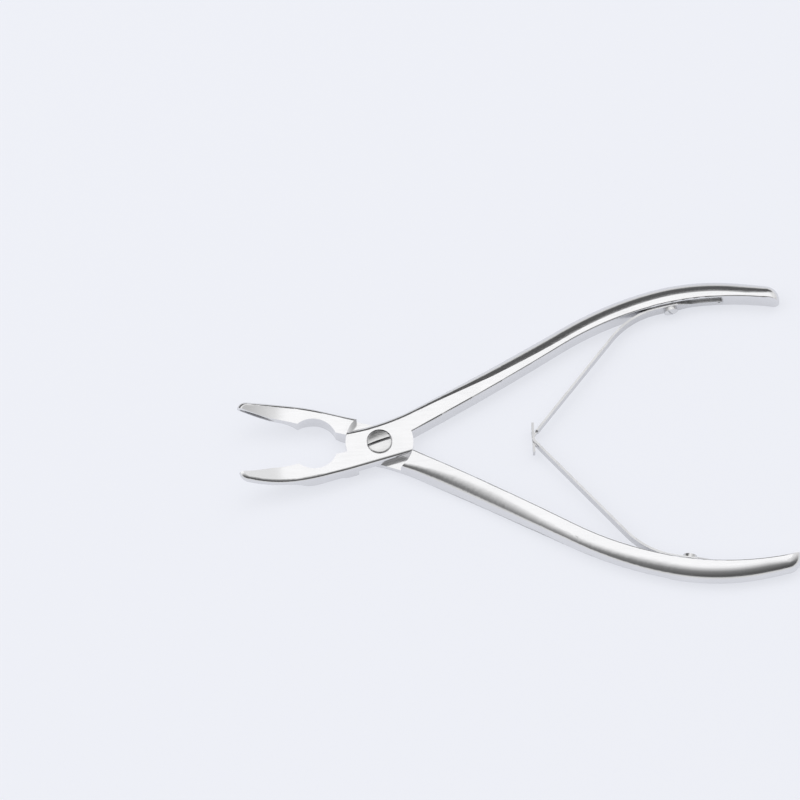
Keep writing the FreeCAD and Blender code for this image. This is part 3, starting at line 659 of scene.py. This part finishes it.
    place, sideways = on_path(along)
    upwards = node("ShaderNodeCombineXYZ")
    join(calc("MULTIPLY", axes.outputs["Z"], width), upwards.inputs["Z"])
    outwards = scaled(sideways, calc("MULTIPLY", axes.outputs["Y"], entry.outputs["Thickness"]))
    laid = node("GeometryNodeSetPosition")
    join(added(place, added(outwards, upwards.outputs[0])), laid.inputs["Position"])

    grain = node("ShaderNodeCombineXYZ")
    join(along, grain.inputs["X"])
    join(calc("MULTIPLY", axes.outputs["Z"], width), grain.inputs["Y"])
    mapped = node("GeometryNodeStoreNamedAttribute", data_type="FLOAT2", domain="CORNER")
    mapped.inputs["Name"].default_value = "grain"
    join(bar.outputs["Mesh"], mapped.inputs["Geometry"])
    join(grain.outputs[0], mapped.inputs["Value"])
    join(mapped.outputs["Geometry"], laid.inputs["Geometry"])

    half = calc("MULTIPLY", calc("SUBTRACT", entry.outputs["Cuts"], 1.0), 0.5)
    lowest = node("ShaderNodeCombineXYZ")
    join(calc("MULTIPLY", calc("MULTIPLY", half, entry.outputs["Cut Spacing"]), -1.0), lowest.inputs["Z"])
    step = node("ShaderNodeCombineXYZ")
    join(entry.outputs["Cut Spacing"], step.inputs["Z"])
    row = node("GeometryNodeMeshLine", mode="OFFSET")
    join(entry.outputs["Cuts"], row.inputs["Count"])
    join(added(entry.outputs["Joint"], lowest.outputs[0]), row.inputs["Start Location"])
    join(step.outputs[0], row.inputs["Offset"])
    block = node("GeometryNodeMeshCube")
    join(entry.outputs["Cut Size"], block.inputs["Size"])
    blocks = node("GeometryNodeInstanceOnPoints")
    join(row.outputs["Mesh"], blocks.inputs["Points"])
    join(block.outputs["Mesh"], blocks.inputs["Instance"])
    cutters = node("GeometryNodeRealizeInstances")
    join(blocks.outputs["Instances"], cutters.inputs["Geometry"])

    cut = node("GeometryNodeMeshBoolean", operation="DIFFERENCE", solver="EXACT")
    join(laid.outputs["Geometry"], cut.inputs["Mesh 1"])
    for cutter in (cutters.outputs["Geometry"], round_cutter(screw_at, entry.outputs["Screw Hole"]),
                   round_cutter(entry.outputs["Pin At"], entry.outputs["Pin Hole"])):
        join(cutter, cut.inputs["Mesh 2"])

    real = node("GeometryNodeRealizeInstances")
    join(cut.outputs["Mesh"], real.inputs["Geometry"])
    finish = node("GeometryNodeSetMaterial")
    join(real.outputs["Geometry"], finish.inputs["Geometry"])
    join(entry.outputs["Material"], finish.inputs["Material"])
    output = node("NodeGroupOutput")
    join(finish.outputs["Geometry"], output.inputs["Geometry"])
    return tree


leaf_nodes = leaf_tree()
spring_steel = steel("leaf_spring_steel", bright=(0.68, 0.68, 0.69), shade=(0.60, 0.60, 0.61),
                     roughness=(0.20, 0.32), mark_depth=0.000003, fineness=2500, stretch=0.08, cloud_size=90,
                     coordinates="UV")


def leaf(name, node, side, cuts):
    """One leaf spring, which bends between its own handle and the joint with the other handle's leaf."""
    path = leaf_path(name + "_path", side)
    mesh = bpy.data.meshes.new(name + "_seed")
    seed = bpy.data.objects.new(name + "_seed", mesh)
    bpy.context.scene.collection.objects.link(seed)
    strip = seed.modifiers.new("strip", "NODES")
    strip.node_group = leaf_nodes
    values = {
        "Path": path, "Steps": leaf_steps, "Thickness": leaf_thickness, "Tail Width": leaf_tail_width,
        "Root Width": leaf_root_width, "Front Width": leaf_front_width, "Screw At": leaf_screw_at,
        "Root Reach": leaf_root_reach, "Taper Reach": leaf_taper_reach, "Pin At": leaf_pin_at,
        "Screw Hole": leaf_screw_hole, "Pin Hole": leaf_pin_hole, "Joint": leaf_joint, **cuts,
        "Material": spring_steel,
    }
    for socket in leaf_nodes.interface.items_tree:
        if socket.item_type == "SOCKET" and socket.in_out == "INPUT":
            strip[socket.identifier] = values[socket.name]
    shape = bpy.data.meshes.new_from_object(seed.evaluated_get(bpy.context.evaluated_depsgraph_get()))
    piece = bpy.data.objects.new(name, shape)
    bpy.context.scene.collection.objects.link(piece)
    bpy.data.objects.remove(seed)
    bpy.data.objects.remove(path)
    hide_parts(node)
    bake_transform(piece)


leaf("hooked_leaf", "hooked_leaf_spring", 1, neck_cuts)
leaf("slotted_leaf", "slotted_leaf_spring", -1, slot_cuts)


# Each leaf is held by a small screw with a domed, slotted head, turned from stainless bar.
# A pin of drawn wire near the leaf's tail keeps it from turning about that screw.

small_pieces = ("top_spring_screw", "bottom_spring_screw", "top_locating_pin", "bottom_locating_pin")
for name in small_pieces:
    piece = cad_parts[name]
    piece.data.materials.clear()
    piece.data.materials.append(screw_steel)


# The picture is made ready.

bpy.context.scene.view_settings.view_transform = "Standard"
